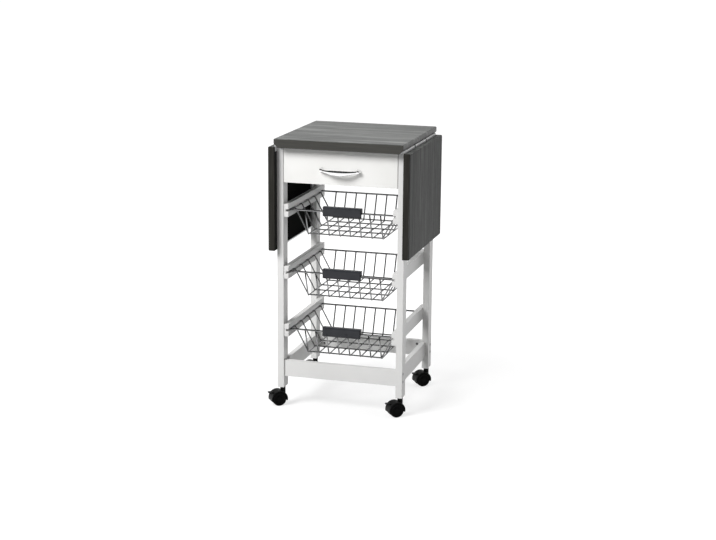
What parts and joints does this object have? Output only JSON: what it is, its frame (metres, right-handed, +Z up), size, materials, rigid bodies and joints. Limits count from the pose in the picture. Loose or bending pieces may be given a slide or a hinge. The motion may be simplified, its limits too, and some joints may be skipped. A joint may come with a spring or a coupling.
{
  "type": "kitchen cart",
  "caption": "Narrow white kitchen cart on braked casters with a dark worktop, drop leaves at the sides, a drawer and pull-out wire baskets on grooved runners",
  "frame": {"origin": "on the floor under the middle of the worktop", "axes": "+Z up, +X to the right of someone facing the drawer, the drawer opens towards -Y"},
  "size_m": [0.409, 0.372, 0.76],
  "materials": {
    "dark_board": "satin dark grain",
    "white_lacquer": "satin white lacquer",
    "grey_wire": "dark grey coat",
    "grip_plastic": "satin",
    "chrome": "polished",
    "zinc_steel": "zinc plated",
    "stem_steel": "dark plated",
    "cap_plastic": "matt",
    "caster_plastic": "satin"
  },
  "bodies": {
    "frame": {"worktop": "dark_board", "leg_front_left": "white_lacquer", "leg_front_right": "white_lacquer", "leg_back_left": "white_lacquer", "leg_back_right": "white_lacquer", "bottom_rail_front": "white_lacquer", "bottom_rail_back": "white_lacquer", "bottom_rail_left": "white_lacquer", "bottom_rail_right": "white_lacquer", "upper_rail_left": "white_lacquer", "upper_rail_right": "white_lacquer", "upper_rail_back": "white_lacquer", "screw_caps": "cap_plastic", "runner_1_left": "white_lacquer", "runner_1_right": "white_lacquer", "runner_2_left": "white_lacquer", "runner_2_right": "white_lacquer", "runner_3_left": "white_lacquer", "runner_3_right": "white_lacquer", "hinge_fixed_left": "zinc_steel", "hinge_fixed_right": "zinc_steel", "hinge_pin_left": "zinc_steel", "hinge_pin_right": "zinc_steel", "drawer_runner_left": "white_lacquer", "drawer_runner_right": "white_lacquer", "caster_front_left_stem": "stem_steel", "caster_front_right_stem": "stem_steel", "caster_back_left_stem": "stem_steel", "caster_back_right_stem": "stem_steel"},
    "drawer": {"drawer_front": "white_lacquer", "drawer_side_left": "white_lacquer", "drawer_side_right": "white_lacquer", "drawer_back": "white_lacquer", "drawer_floor": "white_lacquer", "drawer_handle": "chrome"},
    "basket_1": {"basket_1": "grey_wire", "grip_1": "grip_plastic"},
    "basket_2": {"basket_2": "grey_wire", "grip_2": "grip_plastic"},
    "basket_3": {"basket_3": "grey_wire", "grip_3": "grip_plastic"},
    "leaf_left": {"leaf_left": "dark_board", "hinge_moving_left": "zinc_steel"},
    "stay_left": {"stay_left": "zinc_steel"},
    "leaf_right": {"leaf_right": "dark_board", "hinge_moving_right": "zinc_steel"},
    "stay_right": {"stay_right": "zinc_steel"},
    "caster_front_left_fork": {"caster_front_left_hood": "caster_plastic"},
    "caster_front_left_wheels": {"caster_front_left_wheels": "caster_plastic"},
    "caster_front_left_lever": {"caster_front_left_lever": "caster_plastic"},
    "caster_front_right_fork": {"caster_front_right_hood": "caster_plastic"},
    "caster_front_right_wheels": {"caster_front_right_wheels": "caster_plastic"},
    "caster_front_right_lever": {"caster_front_right_lever": "caster_plastic"},
    "caster_back_left_fork": {"caster_back_left_hood": "caster_plastic"},
    "caster_back_left_wheels": {"caster_back_left_wheels": "caster_plastic"},
    "caster_back_left_lever": {"caster_back_left_lever": "caster_plastic"},
    "caster_back_right_fork": {"caster_back_right_hood": "caster_plastic"},
    "caster_back_right_wheels": {"caster_back_right_wheels": "caster_plastic"},
    "caster_back_right_lever": {"caster_back_right_lever": "caster_plastic"}
  },
  "joints": [
    {"name": "drawer_slide", "type": "slide", "parent": "frame", "child": "drawer", "axis": [0, -1, 0], "range_m": [0, 0.22]},
    {"name": "basket_1_slide", "type": "slide", "parent": "frame", "child": "basket_1", "axis": [0, -1, 0], "range_m": [0, 0.24]},
    {"name": "basket_2_slide", "type": "slide", "parent": "frame", "child": "basket_2", "axis": [0, -1, 0], "range_m": [0, 0.24]},
    {"name": "basket_3_slide", "type": "slide", "parent": "frame", "child": "basket_3", "axis": [0, -1, 0], "range_m": [0, 0.24]},
    {"name": "leaf_left_hinge", "type": "hinge", "parent": "frame", "child": "leaf_left", "pos_m": [-0.179, 0, 0.74], "axis": [0, 1, 0], "range_deg": [0, 90]},
    {"name": "stay_left_hinge", "type": "hinge", "parent": "frame", "child": "stay_left", "pos_m": [-0.172, 0, 0.622], "axis": [0, 1, 0], "range_deg": [0, 135]},
    {"name": "leaf_right_hinge", "type": "hinge", "parent": "frame", "child": "leaf_right", "pos_m": [0.179, 0, 0.74], "axis": [0, -1, 0], "range_deg": [0, 90]},
    {"name": "stay_right_hinge", "type": "hinge", "parent": "frame", "child": "stay_right", "pos_m": [0.172, 0, 0.622], "axis": [0, -1, 0], "range_deg": [0, 135]},
    {"name": "caster_front_left_swivel", "type": "hinge", "parent": "frame", "child": "caster_front_left_fork", "pos_m": [-0.1705, -0.144, 0.055], "axis": [0, 0, 1], "continuous": true},
    {"name": "caster_front_left_roll", "type": "hinge", "parent": "caster_front_left_fork", "child": "caster_front_left_wheels", "pos_m": [-0.18153, -0.15262, 0.02], "axis": [-0.6157, 0.788, 0], "continuous": true},
    {"name": "caster_front_left_brake", "type": "hinge", "parent": "caster_front_left_fork", "child": "caster_front_left_lever", "pos_m": [-0.19538, -0.16344, 0.0382], "axis": [0.6157, -0.788, 0], "range_deg": [0, 18]},
    {"name": "caster_front_right_swivel", "type": "hinge", "parent": "frame", "child": "caster_front_right_fork", "pos_m": [0.1705, -0.144, 0.055], "axis": [0, 0, 1], "continuous": true},
    {"name": "caster_front_right_roll", "type": "hinge", "parent": "caster_front_right_fork", "child": "caster_front_right_wheels", "pos_m": [0.15947, -0.15262, 0.02], "axis": [-0.6157, 0.788, 0], "continuous": true},
    {"name": "caster_front_right_brake", "type": "hinge", "parent": "caster_front_right_fork", "child": "caster_front_right_lever", "pos_m": [0.14562, -0.16344, 0.0382], "axis": [0.6157, -0.788, 0], "range_deg": [0, 18]},
    {"name": "caster_back_left_swivel", "type": "hinge", "parent": "frame", "child": "caster_back_left_fork", "pos_m": [-0.1705, 0.154, 0.055], "axis": [0, 0, 1], "continuous": true},
    {"name": "caster_back_left_roll", "type": "hinge", "parent": "caster_back_left_fork", "child": "caster_back_left_wheels", "pos_m": [-0.18153, 0.14538, 0.02], "axis": [-0.6157, 0.788, 0], "continuous": true},
    {"name": "caster_back_left_brake", "type": "hinge", "parent": "caster_back_left_fork", "child": "caster_back_left_lever", "pos_m": [-0.19538, 0.13456, 0.0382], "axis": [0.6157, -0.788, 0], "range_deg": [0, 18]},
    {"name": "caster_back_right_swivel", "type": "hinge", "parent": "frame", "child": "caster_back_right_fork", "pos_m": [0.1705, 0.154, 0.055], "axis": [0, 0, 1], "continuous": true},
    {"name": "caster_back_right_roll", "type": "hinge", "parent": "caster_back_right_fork", "child": "caster_back_right_wheels", "pos_m": [0.15947, 0.14538, 0.02], "axis": [-0.6157, 0.788, 0], "continuous": true},
    {"name": "caster_back_right_brake", "type": "hinge", "parent": "caster_back_right_fork", "child": "caster_back_right_lever", "pos_m": [0.14562, 0.13456, 0.0382], "axis": [0.6157, -0.788, 0], "range_deg": [0, 18]}
  ],
  "couplings": [
    {"joint": "stay_left_hinge", "follows": "leaf_left_hinge", "ratio": 1.5},
    {"joint": "stay_right_hinge", "follows": "leaf_right_hinge", "ratio": 1.5}
  ]
}
